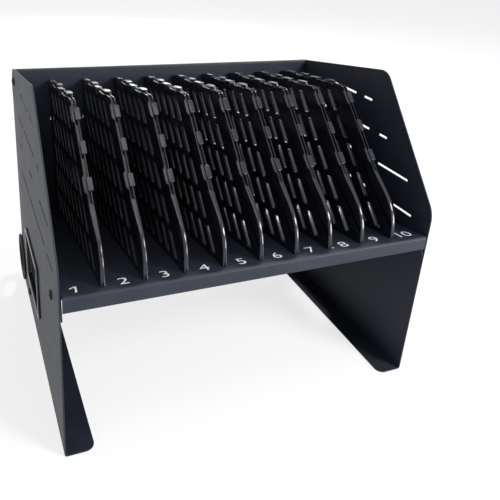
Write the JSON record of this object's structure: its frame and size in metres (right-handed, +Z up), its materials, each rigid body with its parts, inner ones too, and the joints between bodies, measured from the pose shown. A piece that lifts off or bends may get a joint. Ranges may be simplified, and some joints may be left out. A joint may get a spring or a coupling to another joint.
{
  "type": "device charging station",
  "caption": "Steel charging rack: tilted tray and back between leg panels, perforated dividers with cable channels that make upright bays, open storage below.",
  "frame": {"origin": "centre of the bounding box at the surface it stands on", "axes": "+X along the row of bays, from bay 1 to the last bay, to the right as seen from the front; +Y from the front lip towards the back panel; +Z up"},
  "size_m": [0.43, 0.38, 0.3584],
  "materials": {
    "panel_steel": "fine textured charcoal powder coat",
    "divider_plastic": "satin black moulded plastic",
    "ring_rubber": "satin black rubber",
    "screw_steel": "black oxide steel"
  },
  "bodies": {
    "root": {"left_side_panel": "panel_steel", "right_side_panel": "panel_steel", "back_panel": "panel_steel", "tray": "panel_steel", "divider_1": "divider_plastic", "divider_2": "divider_plastic", "divider_3": "divider_plastic", "divider_4": "divider_plastic", "divider_5": "divider_plastic", "divider_6": "divider_plastic", "divider_7": "divider_plastic", "divider_8": "divider_plastic", "divider_9": "divider_plastic", "left_window_trim": "divider_plastic", "right_window_trim": "divider_plastic", "left_cable_ring": "ring_rubber", "right_cable_ring": "ring_rubber", "left_screw_rear_top": "screw_steel", "left_screw_rear_low": "screw_steel", "left_screw_front": "screw_steel", "right_screw_rear_top": "screw_steel", "right_screw_rear_low": "screw_steel", "right_screw_front": "screw_steel"}
  },
  "joints": []
}
